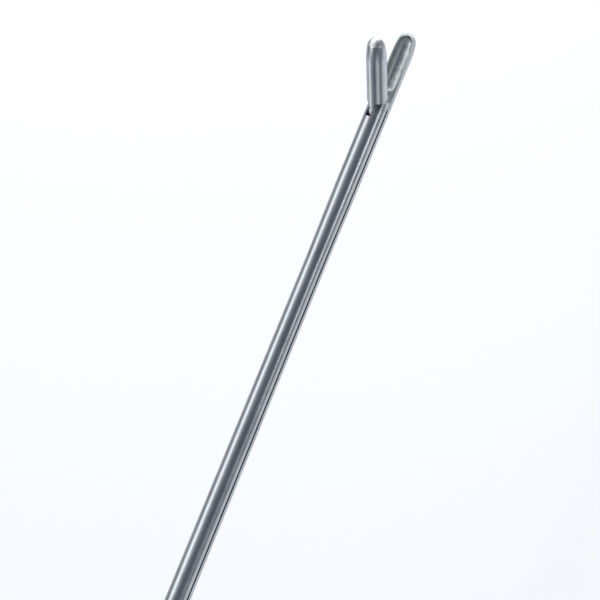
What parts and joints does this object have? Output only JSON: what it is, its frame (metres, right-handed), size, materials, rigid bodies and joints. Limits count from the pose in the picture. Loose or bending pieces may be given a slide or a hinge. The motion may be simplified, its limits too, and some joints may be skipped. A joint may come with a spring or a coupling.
{
  "type": "biopsy forceps",
  "caption": "Sliding-shaft cup biopsy forceps: a long slim straight shaft with spoon-shaped cup jaws, worked by a squeeze handle with finger rings and leaf springs.",
  "frame": {"origin": "centre of the thumb ring's bore", "axes": "+X along the shaft towards the jaws, +Y along the thumb ring's bore, +Z from the rings up to the shaft"},
  "size_m": [0.2568, 0.009, 0.086],
  "materials": {
    "satin_steel": "satin",
    "bright_steel": "fine satin",
    "ground_steel": "ground",
    "spring_steel": "satin"
  },
  "bodies": {
    "handle_and_shaft": {"fixed_shaft": "bright_steel", "rear_handle": "satin_steel", "tang_rivets": "ground_steel", "stop_pin": "ground_steel", "lever_pivot_screw": "ground_steel", "pivot_washers": "ground_steel", "rear_leaf_spring": "spring_steel", "rear_spring_screw": "ground_steel", "rear_spring_pin": "ground_steel", "jaw_pivot_pin": "ground_steel"},
    "slide": {"sliding_shaft": "bright_steel", "jaw_drive_pin": "ground_steel", "front_guide_key": "ground_steel", "rear_guide_key": "ground_steel", "link_pin": "ground_steel"},
    "lever": {"front_handle": "satin_steel", "lever_bush": "ground_steel", "front_leaf_spring": "spring_steel", "front_spring_screw": "ground_steel", "front_spring_pin": "ground_steel"},
    "jaw": {"upper_jaw": "bright_steel"}
  },
  "joints": [
    {"name": "squeeze", "type": "hinge", "parent": "handle_and_shaft", "child": "lever", "pos_m": [0.041, 0, 0.0534], "axis": [0, 1, 0], "range_deg": [0, 10.22], "stiffness_Nm_per_rad": 1.1, "springref_deg": -5.73, "deforming": ["front_leaf_spring", "rear_leaf_spring"]},
    {"name": "slide_travel", "type": "slide", "parent": "handle_and_shaft", "child": "slide", "axis": [1, 0, 0], "range_m": [0, 0.00107]},
    {"name": "jaw_hinge", "type": "hinge", "parent": "handle_and_shaft", "child": "jaw", "pos_m": [0.2278, 0, 0.05714], "axis": [0, 1, 0], "range_deg": [0, 37]}
  ],
  "couplings": [
    {"joint": "slide_travel", "follows": "squeeze", "m_per_rad": 0.006},
    {"joint": "jaw_hinge", "follows": "squeeze", "ratio": 3.6189}
  ]
}
